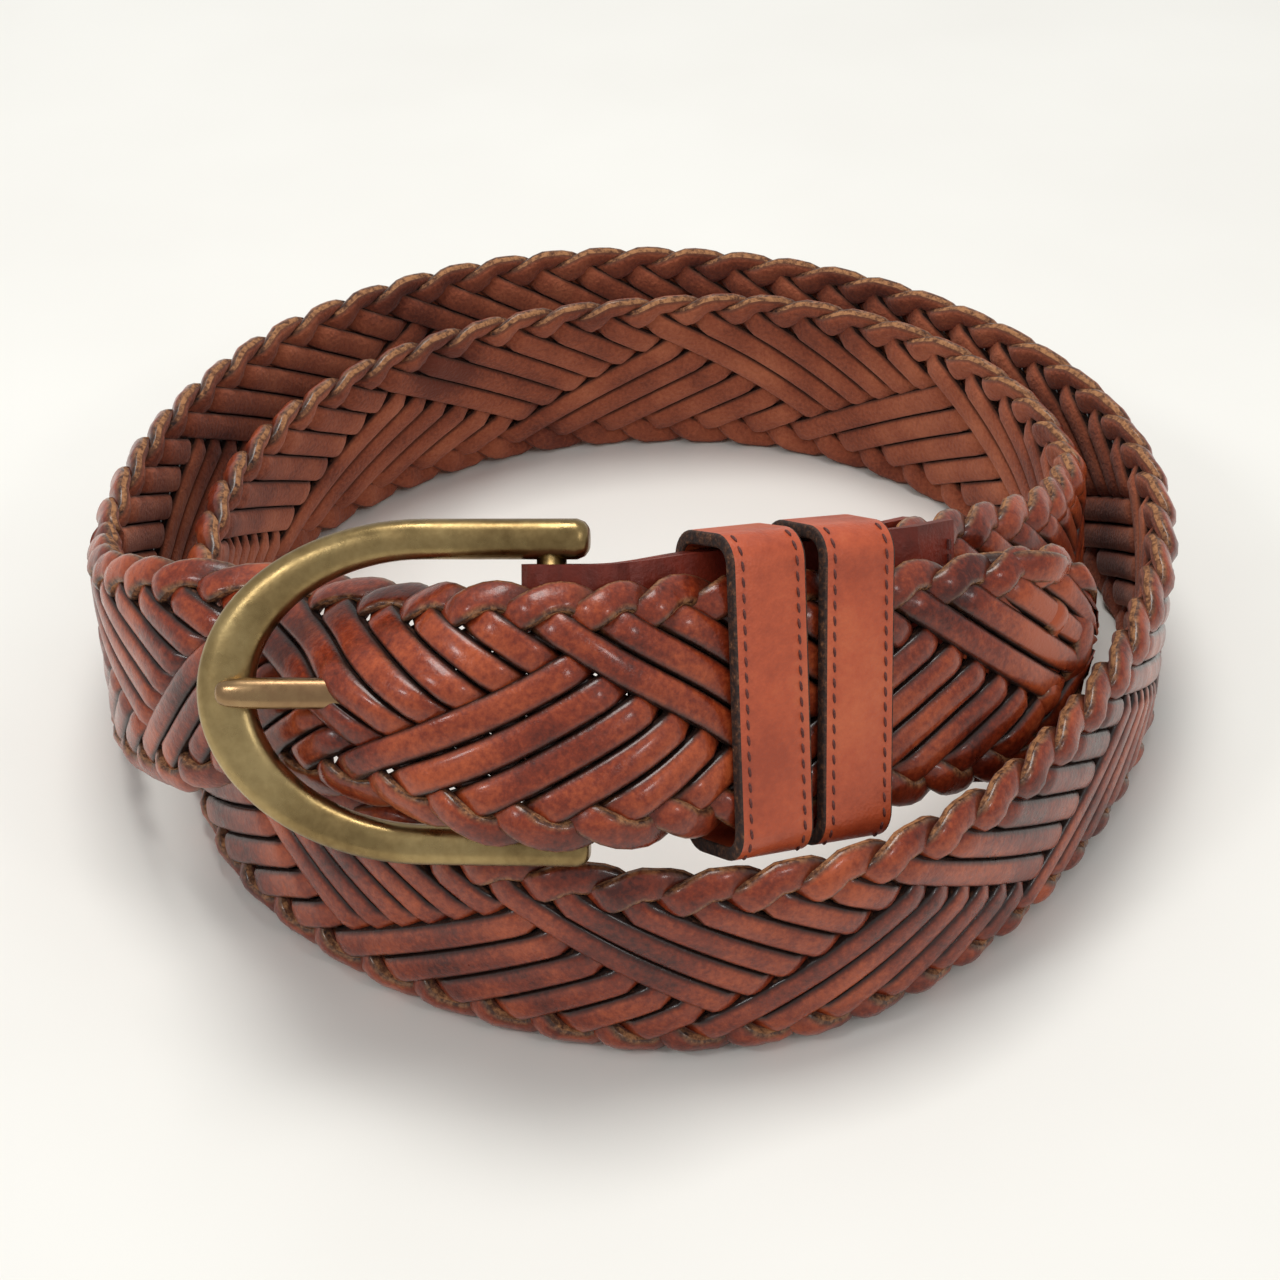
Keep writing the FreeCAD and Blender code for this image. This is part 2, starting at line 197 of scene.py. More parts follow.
# %% [markdown]
# Every piece is shaped in a bmesh and ends in the same few steps: a mesh, its materials, an object
# at the origin, the body that it moves with, and the solid that it stands for.

# %% Making an object
def new_object(name, bm, finishes, body, replaces=()):
    """Makes a smooth object of a bmesh, and lets it ride on a body."""
    mesh = bpy.data.meshes.new(name)
    bm.to_mesh(mesh)
    bm.free()
    for finish in finishes:
        mesh.materials.append(finish.material)
    mesh.shade_smooth()
    piece = bpy.data.objects.new(name, mesh)
    bpy.context.scene.collection.objects.link(piece)
    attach(piece, body)
    if replaces:
        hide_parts(*replaces)
    return piece


# %% [markdown]
# The floor is a pale sheet, far larger than the belt, with a very faint unevenness of tone.

# %% Floor
FLOOR_HALF = 3.0              # metres

floor_finish = Finish("pale_sheet", rough=0.6)
floor_tone = floor_finish.noise(floor_finish.place(), 9.0)
floor_finish.use("Base Color", floor_finish.ramp(floor_tone, (0.3, (0.80, 0.79, 0.755)),
                                                 (0.7, (0.84, 0.835, 0.80))))
floor_bm = bmesh.new()
bmesh.ops.create_grid(floor_bm, x_segments=2, y_segments=2, size=FLOOR_HALF)
floor_mesh = bpy.data.meshes.new("floor")
floor_bm.to_mesh(floor_mesh)
floor_bm.free()
floor_mesh.materials.append(floor_finish.material)
floor = bpy.data.objects.new("floor", floor_mesh)
bpy.context.scene.collection.objects.link(floor)
print("floor is", 2 * FLOOR_HALF, "m square")

# %% [markdown]
# ## The way the strap goes
#
# The strap is one long band. It starts at the heel bar of the buckle, runs behind its own front
# stretch, goes round twice, climbs through the buckle and ends at the tip. It could be bent with a
# curve modifier, but the band leans by a different angle at each place. So a smooth line goes
# through a few guide points, and each guide also says how far the band leans. The solids were made
# with the same guides, in millimetres, so the woven laces fill the same space.

# %% Guides
WIDTH = 35.0
HALF_WIDTH = WIDTH / 2
HALF_THICK = 2.2
TO_ORIGIN = np.array([0.511, 2.021, -0.2])        # moves the coil's middle to the origin

# Angle, radius and lean of the stretches that stand on the floor.
INNER_TURN = [(30, 76.5, 3), (50, 77, 4), (70, 75.5, 7), (90, 72, 11), (110, 70.8, 12),
              (130, 70, 11), (150, 70, 9), (170, 69.8, 6), (190, 71, 5), (206, 73.5, 5), (222, 77, 6)]
OUTER_TURN = [(240, 80.5, 2), (257, 84, -2), (273, 86.8, -3), (289, 86.8, -3), (305, 83.8, -3),
              (322, 80.8, -1), (339, 80.8, 0), (355, 83, 0), (371, 85.6, 0), (388, 87.4, 0),
              (406, 87.8, 0), (424, 87.8, 0), (442, 87.8, 0), (460, 87.8, 0), (478, 87.8, 0),
              (496, 87.6, 0), (513, 86.2, 0), (529, 85.2, -1), (544, 84.6, -2)]
# Place, height of the bottom edge in strap widths, and lean, of those that don't.
RISING = [(-79.5, -28, 0.24, 2), (-69, -46.5, 0.56, 10), (-55.3, -60.8, 0.86, 24),
          (-37.3, -76.2, 1.12, 34), (-20, -82.2, 1.2, 35)]
FRONT_RUN = [(-3, -81.7, 1.17, 33), (11, -74.3, 1.05, 27), (25, -66.8, 0.94, 24),
             (39, -59, 0.82, 21), (52.6, -50, 0.69, 14), (65.2, -37.6, 0.56, 6)]
FALLING = [(61, -21.5, 0.43, 14), (68.5, -2, 0.2, 7), (71.4, 15, 0.05, 3)]
print(len(INNER_TURN + OUTER_TURN + RISING + FRONT_RUN + FALLING), "guides")


# %% From guides to points
def blend(x, low, high):
    """0 up to low, 1 from high on, and smooth between them."""
    t = np.clip((np.asarray(x, float) - low) / (high - low), 0, 1)
    return t * t * (3 - 2 * t)


def hump(x, middle, half):
    """1 over the middle third, falling to 0 at half from the middle."""
    return 1 - blend(np.abs(x - middle), half / 3, half)


def floor_height(lean):
    """Height of the strap's middle when its lower edge is on the floor."""
    tilt = np.radians(abs(lean))
    return HALF_WIDTH * np.cos(tilt) + HALF_THICK * np.sin(tilt)


def on_floor(angle, radius, lean):
    turn = math.radians(angle)
    return (radius * math.cos(turn), radius * math.sin(turn), floor_height(lean), lean)


def off_floor(x, y, rise, lean):
    return (x, y, rise * WIDTH + HALF_WIDTH * math.cos(math.radians(lean)), lean)


def unit(vectors):
    return vectors / np.linalg.norm(vectors, axis=1, keepdims=True)


print("an upright strap has its middle", floor_height(0), "mm above the floor")


# %% [markdown]
# `Path` is a Catmull-Rom curve: each stretch between two guides also looks at the guide before and
# the guide after, so the curve passes through every guide and has no corner there. At any distance
# along it, `place` gives a point, and the directions along the strap, up across it, and out of its
# outer face.

# %% The path
class Path:
    def __init__(self, guides, steps=12):
        g = np.array(guides, float)
        g = np.vstack([2 * g[0] - g[1], g, 2 * g[-1] - g[-2]])
        t = np.arange(steps)[:, None] / steps
        line = [0.5 * (2 * b + (c - a) * t + (2 * a - 5 * b + 4 * c - d) * t ** 2
                       + (3 * b - a - 3 * c + d) * t ** 3)
                for a, b, c, d in zip(g, g[1:], g[2:], g[3:])]
        line = np.vstack(line + [g[-2]])
        line[:, 2] = np.maximum(line[:, 2], floor_height(line[:, 3]))
        self.points, self.leans = line[:, :3], line[:, 3]
        steps_long = np.linalg.norm(np.diff(self.points, axis=0), axis=1)
        self.at = np.concatenate([[0], np.cumsum(steps_long)])
        self.length = self.at[-1]
        self.headings = np.gradient(self.points, self.at, axis=0)

    def look_up(self, table, s):
        return np.stack([np.interp(s, self.at, table[:, k]) for k in range(3)], axis=1)

    def place(self, s):
        """Points, and directions along, up and out, at the distances s."""
        s = np.atleast_1d(np.asarray(s, float))
        beyond = np.maximum(s - self.length, 0)[:, None] + np.minimum(s, 0)[:, None]
        point, along = self.look_up(self.points, s), unit(self.look_up(self.headings, s))
        level = unit(np.array([[0.0, 0.0, 1.0]]) - along * along[:, 2:])
        tilt = np.radians(np.interp(s, self.at, self.leans))[:, None]
        up = level * np.cos(tilt) - np.cross(along, level) * np.sin(tilt)
        return point + along * beyond, along, up, np.cross(along, up)

    def nearest(self, target):
        return self.at[np.argmin(np.linalg.norm(self.points - target, axis=1))]


# %% [markdown]
# The chape is the folded leather that holds the buckle. Its two legs lie together under the
# keepers and open again at the far end, to take the start of the plait between them. It follows
# the front run from behind, so its guides are worked out from the front run and not drawn by hand:
# the two can then never cross.

# %% The whole strap
BAR_R = 2.0
CHAPE_THICK = 1.9
CHAPE_CLEAR = 0.22
CHAPE_LIFT = 3.9              # the chape lies this much higher than the front run
LEGS_MEET, LEGS_PART = 11.0, 51.0
PLAIT_START = 56.5
RUN_GAP = 0.8                 # between the front run and the chape
CHAPE_GUIDES_AT = [-8.5, 0, 8, 16, 24, 32, 41, 50]      # along the front run

outer_guides = [on_floor(*g) for g in OUTER_TURN] + [off_floor(*g) for g in RISING + FRONT_RUN]
run_start = np.array(off_floor(*FRONT_RUN[0])[:3])
front = Path(outer_guides)
front_at = front.nearest(run_start)


def leg_inside(s):
    """Half the space between the legs of the chape, at s from the heel bar."""
    folded = CHAPE_CLEAR + BAR_R * (1 - blend(s, 1.0, LEGS_MEET))
    return folded + HALF_THICK * blend(s, LEGS_PART, PLAIT_START - 0.5)


def behind_run(at):
    point, along, up, out = (a[0] for a in front.place(front_at + at))
    back = HALF_THICK + RUN_GAP + CHAPE_THICK + leg_inside(at - CHAPE_GUIDES_AT[0])
    lean = math.degrees(math.acos(min(1.0, up[2] / math.sqrt(1 - along[2] ** 2))))
    return (*(point - out * back + up * CHAPE_LIFT), lean)


strap = Path([behind_run(at) for at in CHAPE_GUIDES_AT] + [off_floor(*g) for g in FALLING]
             + [on_floor(*g) for g in INNER_TURN] + outer_guides)
RUN_AT = strap.nearest(run_start)
print("strap is", round(strap.length), "mm long, and its front run starts at", round(RUN_AT))

# %% [markdown]
# Between the arms of the buckle the plait is squeezed narrower and cups, and it opens a little for
# the prong and rides over it. At the tip it narrows to a blunt end. These are all small moves of a
# flat strap, so they are made once, in `on_strap`, and every lace goes through it. It takes a
# distance along the strap, a height across it and a depth out of its middle, and gives the place
# in the coiled belt.

# %% From flat to coiled
# Distances along the strap are from the start of the front run.
SQUEEZE_AT, SQUEEZE_HALF, SQUEEZE_SHARE = -47.0, 36.0, 0.86
SQUEEZE_LIFT = 1.4            # how far the squeezed stretch is lifted off the lower arm
CUP = 8.0                     # how far the squeezed edges fall behind the middle
RAISED = 1.2                  # the strap sits this much higher in the buckle and before the keepers
RAISED_FROM, RAISED_TO = (-60, -40), (10, 30)
PART_AT, PART_HALF = -40.0, 22.0
PART_WIDTH, PART_SOFT, PART_FADES = 1.4, 3.0, 9.0
PRONG_ABOVE = 1.5             # the prong lies this much above the middle of the strap
LIFT_AT, LIFT_HALF, LIFT_OVER_PRONG, LIFT_FADES = -31.0, 18.0, 1.8, 5.0
TIP_LENGTH, TIP_SHARE, TIP_BLUNT = 19.0, 0.2, 2.6


def tip_narrows(s):
    into_tip = np.clip(1 - (strap.length - s) / TIP_LENGTH, 0, 1)
    return TIP_SHARE + (1 - TIP_SHARE) * (1 - into_tip ** TIP_BLUNT) ** (1 / TIP_BLUNT)


def on_strap(s, v, depth, narrowed=True):
    along_run = s - RUN_AT
    squeeze = hump(along_run, SQUEEZE_AT, SQUEEZE_HALF)
    from_prong = v - PRONG_ABOVE
    parted = PART_WIDTH / 2 * np.tanh(from_prong / PART_SOFT) * np.exp(-(from_prong / PART_FADES) ** 2)
    lifted = LIFT_OVER_PRONG * np.exp(-(from_prong / LIFT_FADES) ** 2)
    lifted *= hump(along_run, LIFT_AT, LIFT_HALF)
    v = v + hump(along_run, PART_AT, PART_HALF) * parted
    raised = RAISED * blend(along_run, *RAISED_FROM) * (1 - blend(along_run, *RAISED_TO))
    tip_share = tip_narrows(s) if narrowed else 1.0
    v = v * (1 - (1 - SQUEEZE_SHARE) * squeeze) * tip_share + SQUEEZE_LIFT * squeeze + raised
    cup = CUP * (squeeze * v / HALF_WIDTH) ** 2
    point, _, up, out = strap.place(s)
    return (point + up * v[:, None] + out * (depth + lifted - cup)[:, None] + TO_ORIGIN) * MM


print("the buckle squeezes the strap to", round(SQUEEZE_SHARE * WIDTH, 1), "mm")


# %% [markdown]
# ## The plait
#
# Twelve laces go to and fro across the strap. Each one crosses eleven others on its way from one
# edge to the other, and turns back at the edge. The pattern is a herringbone that changes sides:
# a lace stays on top over several crossings and then dives under as many, which makes the long
# diagonal bundles, and close to each edge it always goes over and then under, which makes the
# row of scallops. The crossings could be placed by hand, but one rule for over and under keeps the
# two laces of every crossing from both being on top.
#
# Steps along a lace are counted in half pitches. In one half pitch a lace crosses one other.

# %% Over and under
PITCH = 9.2                   # between two neighbouring laces where they turn
LACES = 12
CROSSINGS = 12                # half pitches from edge to edge
BUNDLE = 6                    # laces in a bundle
BUNDLE_SHIFT = 3


def over(i, k):
    """1 if the falling lace i is on top at row k, -1 if it is under, and 0 at the edge."""
    if k <= 0 or k >= CROSSINGS:
        return 0
    if k in (1, CROSSINGS - 1):
        return 1 if k > 1 else -1
    return 1 if (i + k - BUNDLE_SHIFT) // BUNDLE <= i // BUNDLE else -1


def lace_side(number, step):
    """The same for a lace, after any number of half pitches from where it turned at the top."""
    turn, k = divmod(step, CROSSINGS)
    first = number + CROSSINGS * (turn // 2)
    if turn % 2 == 0:
        return over(first, k)
    return -over(first + k, CROSSINGS - k)


print("first lace:", "".join("o-u"[1 - lace_side(0, step)] for step in range(2 * CROSSINGS)))

# %% [markdown]
# The middle of a lace is a zigzag with rounded corners. Near an edge the lace also rolls, so that
# its outer edge turns back and shows its cut side from above.

# %% How a lace runs
TURN_AT = 16.6                # height at which a lace would turn if it turned sharply
TURN_SOFT = 0.85              # half pitches over which it turns instead
OVER = 1.2                    # how far an upper lace stands out of the middle
DIVE = (0.1, 0.9)             # part of a half pitch in which a lace changes from over to under
ROLL_WITHIN = 2.2             # half pitches from the edge
WEAVE_START = 6.5             # shifts the whole pattern along the strap


def lace_line(number, x):
    """Height and depth of a lace's middle, and its turn-back from -1 to 1, at the distances x."""
    step = (x - WEAVE_START) / (PITCH / 2) - 2 * number
    fall = 2 * TURN_AT / CROSSINGS
    saw = np.abs(np.mod(step, 2 * CROSSINGS) - CROSSINGS) - CROSSINGS / 2
    near = np.clip((np.abs(saw) - (CROSSINGS / 2 - TURN_SOFT)) / TURN_SOFT, 0, 1)
    height = np.sign(saw) * (np.abs(saw) - TURN_SOFT * near ** 2 / 2) * fall
    steps = np.arange(math.floor(step.min()) - 1, math.ceil(step.max()) + 2)
    sides = np.array([lace_side(number, int(n)) for n in steps])
    low = np.clip(np.floor(step).astype(int) - steps[0], 0, len(steps) - 2)
    dived = blend(step - np.floor(step), *DIVE)
    depth = OVER * (sides[low] * (1 - dived) + sides[low + 1] * dived)
    return height, depth, np.sign(saw) * blend(np.abs(saw), CROSSINGS / 2 - ROLL_WITHIN, CROSSINGS / 2)


print("a lace comes back to the same edge after", round(CROSSINGS * PITCH), "mm")

# %% [markdown]
# ## Leather finishes
#
# The laces are dyed through and polished on the grain side, which has darker and lighter patches
# and fine creases across each lace. Where a lace dives under its neighbours its colour is darkened
# as painted shade. An image of leather would be quicker, but it repeats, and these patterns don't.
#
# Each lace carries its own UV map in metres, which lets creases run across it, and three point
# attributes: `rim` is 1 at the cut edges, `turned` is 1 at the edges of the strap, and `sunk_shade` is 1
# where the lace is lowest, and marks the painted shade.

# %% Grain side
# Almost black: the paint on the cut edges, and also the painted shade where a lace dives under its
# neighbours.
EDGE_PAINT_AND_SHADE = (0.018, 0.007, 0.005)
FRAY_DARK, FRAY_LIGHT = (0.07, 0.024, 0.011), (0.36, 0.160, 0.068)

grain = Finish("lace_grain", rough=0.32, Coat_Weight=0.38, Coat_Roughness=0.16,
               Specular_IOR_Level=0.3)
at = grain.place()
lace_map = grain.node("ShaderNodeUVMap", uv_map="lace").outputs["UV"]
stretched = grain.node("ShaderNodeMapping", {"Vector": lace_map, "Scale": (520.0, 200.0, 1.0)})
crease = grain.noise(stretched.outputs["Vector"], 1.0, 4.0)
colour = grain.ramp(grain.patches(at, (60.0, 2.0), (1100.0, 4.0, 0.65), 0.6),
                    (0.36, (0.062, 0.006, 0.002)), (0.48, (0.195, 0.025, 0.007)),
                    (0.62, (0.395, 0.074, 0.021)))
rim = grain.ramp(grain.add(grain.read("rim"), grain.times(crease, 0.12)), (0.72, 0.0), (1.0, 1.0))
frayed = grain.ramp(grain.noise(at, 1000.0, 4.0, 0.7), (0.42, FRAY_DARK), (0.62, FRAY_LIGHT))
turned = grain.ramp(grain.read("turned"), (0.66, 0.0), (0.84, 0.85))
colour = grain.mix(rim, colour, grain.mix(turned, EDGE_PAINT_AND_SHADE, frayed))
# Painted shade: the lace is darkened towards near black where it lies lowest, under its neighbours.
colour = grain.mix(grain.ramp(grain.read("sunk_shade"), (0.5, 0.0), (1.0, 0.8)), colour, EDGE_PAINT_AND_SHADE)
creased = grain.mix(1.0, colour, (0.72, 0.66, 0.66), "MULTIPLY")
grain.use("Base Color", grain.mix(grain.ramp(crease, (0.30, 0.0), (0.42, 1.0)), creased, colour))
grain.use("Roughness", grain.ramp(grain.noise(at, 180.0), (0.3, 0.22), (0.7, 0.46)))
grain.bump(grain.add(crease, grain.times(grain.noise(at, 2600.0, 2.0), 0.35)), 0.16)
print("grain finish has", len(grain.tree.nodes), "nodes")

# %% [markdown]
# The flesh side, which faces the inside of the coil, is matt and has a short nap. A little sheen
# gives the soft look that nap has at a low angle.

# %% Flesh side
flesh = Finish("lace_flesh", rough=0.85, Sheen_Weight=0.1, Sheen_Roughness=0.6,
               Specular_IOR_Level=0.3)
at = flesh.place()
colour = flesh.ramp(flesh.patches(at, (60.0, 2.0), (1500.0, 3.0), 0.4),
                    (0.36, (0.15, 0.031, 0.014)), (0.5, (0.30, 0.073, 0.031)),
                    (0.66, (0.45, 0.135, 0.060)))
rim = flesh.ramp(flesh.read("rim"), (0.84, 0.0), (1.0, 1.0))
flesh.use("Base Color", flesh.mix(rim, colour, (0.10, 0.032, 0.016)))
flesh.bump(flesh.noise(at, 1500.0, 3.0), 0.3)
print("flesh finish has", len(flesh.tree.nodes), "nodes")

# %% [markdown]
# The cut edges are painted almost black. At the edges of the strap the paint has worn off, and the
# light brown fibres show.

# %% Cut edges
edge = Finish("lace_edge", rough=0.75, Specular_IOR_Level=0.3)
fuzz = edge.noise(edge.place(), 900.0, 4.0, 0.7)
worn = edge.add(edge.ramp(edge.read("turned"), (0.66, 0.0), (0.86, 0.3)), fuzz)
edge.use("Base Color", edge.ramp(worn, (0.52, EDGE_PAINT_AND_SHADE), (0.68, (0.12, 0.046, 0.021)),
                                 (0.86, (0.38, 0.175, 0.075))))
edge.bump(fuzz, 0.35)
print("laces have", [f.material.name for f in (grain, flesh, edge)])

# %% [markdown]
# ## Laces
#
# A lace is a flat strip. It could be a curve with a bevel, but the strip must stay flat to the
# strap and turn with it, so a mesh is laid out straight, as two grids joined along their borders,
# and each of its points is then carried to the plait. The height of a point in the section rounds
# the strip off.

# %% A straight strip
LACE_WIDTH, LACE_THICK = 4.5, 2.8
SECTION = 1.5                 # between cross-sections, along the strap
SECTION_W = [-1.0, -0.92, -0.72, -0.40, 0.0, 0.40, 0.72, 0.92, 1.0]
SECTION_HIGH = [0.30, 0.56, 0.80, 0.95, 1.0, 0.95, 0.80, 0.56, 0.30]


def strip(sections):
    """A closed strip: x and y from -1 to 1, and z is 1 on the grain side and -1 on the flesh."""
    bm = bmesh.new()
    bmesh.ops.create_grid(bm, x_segments=sections, y_segments=len(SECTION_W) - 1, size=1.0)
    top = bmesh.ops.duplicate(bm, geom=bm.verts[:] + bm.edges[:] + bm.faces[:])["geom"]
    top_verts = {v for v in top if isinstance(v, bmesh.types.BMVert)}
    for v in bm.verts:
        v.co.z = 1.0 if v in top_verts else -1.0
    bmesh.ops.reverse_faces(bm, faces=[f for f in bm.faces if f.verts[0] not in top_verts])
    bmesh.ops.bridge_loops(bm, edges=[e for e in bm.edges if e.is_boundary])
    bmesh.ops.recalc_face_normals(bm, faces=bm.faces)
    return bm


def read_strip(bm):
    """Of each point: the share along, the share across, the height in the section, and the side."""
    flat = np.array([v.co for v in bm.verts])
    across = np.interp(flat[:, 1], np.linspace(-1, 1, len(SECTION_W)), SECTION_W)
    high = flat[:, 2] * np.interp(across, SECTION_W, SECTION_HIGH) * LACE_THICK / 2
    return flat[:, 0], across, high, flat[:, 2]


print("a lace is", LACE_WIDTH, "by", LACE_THICK, "mm")


# %% [markdown]
# `dress_strip` moves the points of a strip to their places. It also gives the strip what its
# finishes read, and each face its side: grain, flesh or cut edge.

# %% From strip to lace
def dress_strip(name, bm, places, side, uv, values, replaces=()):
    uv_layer = bm.loops.layers.uv.new("lace")
    layers = {key: bm.verts.layers.float.new(key) for key in values}
    bm.verts.index_update()
    for v, place in zip(bm.verts, places):
        v.co = place
        for key, layer in layers.items():
            v[layer] = values[key][v.index]
    for face in bm.faces:
        sides = side[[v.index for v in face.verts]]
        face.material_index = 0 if sides.min() > 0 else 1 if sides.max() < 0 else 2
        for loop in face.loops:
            loop[uv_layer].uv = uv[loop.vert.index] * MM
    return new_object(name, bm, [grain, flesh, edge], "strap", replaces)


# 1 where a lace lies lowest, under its neighbours: the mask of the painted shade.
def sunk_shade(depth):
    return np.clip(0.5 - depth / (2 * OVER), 0, 1)


# %% The laces
ROLL = 32.0                   # degrees by which a lace is turned back at the edge of the strap
SLOPE_STEP = 0.2


def lace(number):
    bm = strip(round((strap.length - PLAIT_START) / SECTION))
    along, across, high, side = read_strip(bm)
    x = PLAIT_START + (strap.length - PLAIT_START) * (along + 1) / 2
    height, depth, turning = lace_line(number, x)
    ahead, behind = (lace_line(number, x + step)[0] for step in (SLOPE_STEP, -SLOPE_STEP))
    slope = (ahead - behind) / (2 * SLOPE_STEP)
    steep = np.sqrt(1 + slope ** 2)
    roll = np.radians(ROLL) * turning
    wide = across * LACE_WIDTH / 2
    reach = wide * np.cos(roll) + high * np.sin(roll)
    out = depth - wide * np.sin(roll) + high * np.cos(roll)
    places = on_strap(x - reach * slope / steep, height + reach / steep, out)
    places[:, 2] = np.maximum(places[:, 2], 0)
    values = {"rim": np.abs(across), "turned": np.abs(height) / HALF_WIDTH, "sunk_shade": sunk_shade(depth)}
    return dress_strip("lace_woven_%02d" % (number + 1), bm, places, side, np.stack([x, reach], axis=1),
                       values, ["lace_%02d" % (number + 1)])


laces = [lace(number) for number in range(LACES)]
print(len(laces), "laces,", sum(len(o.data.polygons) for o in laces), "faces")

# %% [markdown]
# At the tip the laces are turned back and woven in again, so the end of the strap is round and
# thick. To weave each end in would take a rule of its own. Two loops that run round the end give
# the same outline: one along it, and one inside it. They go over and under as they turn, and
# their own ends sink into the plait.

# %% The tip
LOOP_SECTIONS = 60
LOOP_TURN = 1.85              # radians to each side of the tip that a loop goes round
LOOP_SQUARE = 0.85            # below 1, the loop is squarer than an ellipse
LOOP_WAVES = 5
LOOP_OUT, LOOP_WAVE, LOOP_SINKS = 0.5, 1.2, 1.5
LOOP_RADIUS = 15.0            # about, for its UV map


def loop_middle(angle, inset):
    """Distance along the strap and height across it, of a loop's middle."""
    cos, sin = (np.sign(c) * np.abs(c) ** LOOP_SQUARE for c in (np.cos(angle), np.sin(angle)))
    return strap.length - TIP_LENGTH + (TIP_LENGTH - inset) * cos, (HALF_WIDTH - inset) * sin


def end_loop(name, inset, first_wave):
    """A lace that goes round the tip, inset from the outline of the strap."""
    bm = strip(LOOP_SECTIONS)
    along, across, high, side = read_strip(bm)
    angle = along * LOOP_TURN
    x, height = loop_middle(angle, inset)
    ahead, behind = loop_middle(angle + 0.02, inset), loop_middle(angle - 0.02, inset)
    dx, dy = ahead[0] - behind[0], ahead[1] - behind[1]
    wide = across * LACE_WIDTH / 2
    reach = wide / np.hypot(dx, dy)
    depth = LOOP_OUT + LOOP_WAVE * np.cos(LOOP_WAVES * angle + first_wave)
    depth = depth - LOOP_SINKS * blend(np.abs(along), 0.75, 1)
    places = on_strap(x - reach * dy, height + reach * dx, depth + high, narrowed=False)
    values = {"rim": np.abs(across), "turned": np.full(len(x), 0.8), "sunk_shade": sunk_shade(depth)}
    return dress_strip(name, bm, places, side, np.stack([angle * LOOP_RADIUS, wide], axis=1), values)


loops = [end_loop("tip_loop_outer", 2.6, 0.0), end_loop("tip_loop_inner", 8.2, math.pi)]
print(len(loops), "loops round the last", TIP_LENGTH, "mm")

# %% [markdown]
# ## Keepers
#
# A keeper is a band of smooth leather, stitched along both edges, round the strap and the chape.
# Its leather is lighter than the laces, with a fine even grain, and its cut edges are fuzzy.

# %% Smooth leather
tan = Finish("keeper_leather", rough=0.42, Coat_Weight=0.15, Coat_Roughness=0.35)
at = tan.place()
tan.use("Base Color", tan.ramp(tan.patches(at, (70.0, 3.0), (900.0, 4.0), 0.35),
                               (0.36, (0.345, 0.051, 0.015)), (0.5, (0.46, 0.076, 0.023)),
                               (0.66, (0.54, 0.116, 0.039))))
tan.use("Roughness", tan.ramp(tan.noise(at, 300.0), (0.3, 0.34), (0.7, 0.52)))
tan.bump(tan.node("ShaderNodeTexVoronoi", {"Vector": at, "Scale": 2200.0}).outputs["Distance"], 0.05)

cut_edge = Finish("cut_edge", rough=0.75)
fuzz = cut_edge.noise(cut_edge.place(), 1100.0, 4.0, 0.7)
cut_edge.use("Base Color", cut_edge.ramp(fuzz, (0.45, EDGE_PAINT_AND_SHADE), (0.60, (0.08, 0.03, 0.014)),
                                         (0.72, (0.26, 0.115, 0.05))))
cut_edge.bump(fuzz, 0.3)
print("keepers have", [f.material.name for f in (tan, cut_edge)])

# %% [markdown]
# The keepers stand across the front run, one after the other. Each is as high as the strap and the
# chape together, and as deep as the strap and the four layers behind it, with a little slack.

# %% Where the keepers are
KEEPER_LENGTH = 11.5
KEEPER_WALL = 1.9
KEEPER_ROUND = 4.2
KEEPER_GAP = 2.2
KEEPER_FIRST = 15.5           # from the start of the front run
KEEPER_SECOND = KEEPER_FIRST + KEEPER_LENGTH + KEEPER_GAP
SLACK_W, SLACK_N = 1.8, 1.6   # in height and in depth
CHAPE_NARROWER = 1.0
CHAPE_RISE = CHAPE_LIFT - CHAPE_NARROWER / 2      # of the chape's top edge above the strap's
CHAPE_BACK = 2 * (CHAPE_THICK + CHAPE_CLEAR)
KEEPER_W = WIDTH + CHAPE_RISE + SLACK_W
KEEPER_N = 2 * HALF_THICK + RUN_GAP + CHAPE_BACK + SLACK_N


def frame_matrix(along, up, out, origin):
    turn = Matrix((along, up, out)).transposed().to_4x4()
    return Matrix.Translation((Vector(origin) + Vector(TO_ORIGIN)) * MM) @ turn @ Matrix.Scale(MM, 4)


def keeper_place(start):
    middle, along, up, out = (a[0] for a in strap.place(RUN_AT + start + KEEPER_LENGTH / 2))
    near_end = middle - along * KEEPER_LENGTH / 2
    return frame_matrix(along, up, out, near_end + up * CHAPE_RISE / 2 - out * (RUN_GAP + CHAPE_BACK) / 2)


print("keepers are", round(KEEPER_W + 2 * KEEPER_WALL, 1), "mm high outside")


# %% [markdown]
# The band could be drawn as an outline and extruded. A box is quicker: it is left open at both
# ends, its four long edges are rounded, and `solidify` gives the wall inwards. The rims are then
# rounded with a small bevel.

# %% Keeper bands
RIM_ROUND = 0.35


def lies_across(e):
    return abs((e.verts[0].co - e.verts[1].co).x) < 0.01


def is_rim(e):
    return lies_across(e) and {f.material_index for f in e.link_faces} == {0, 1}


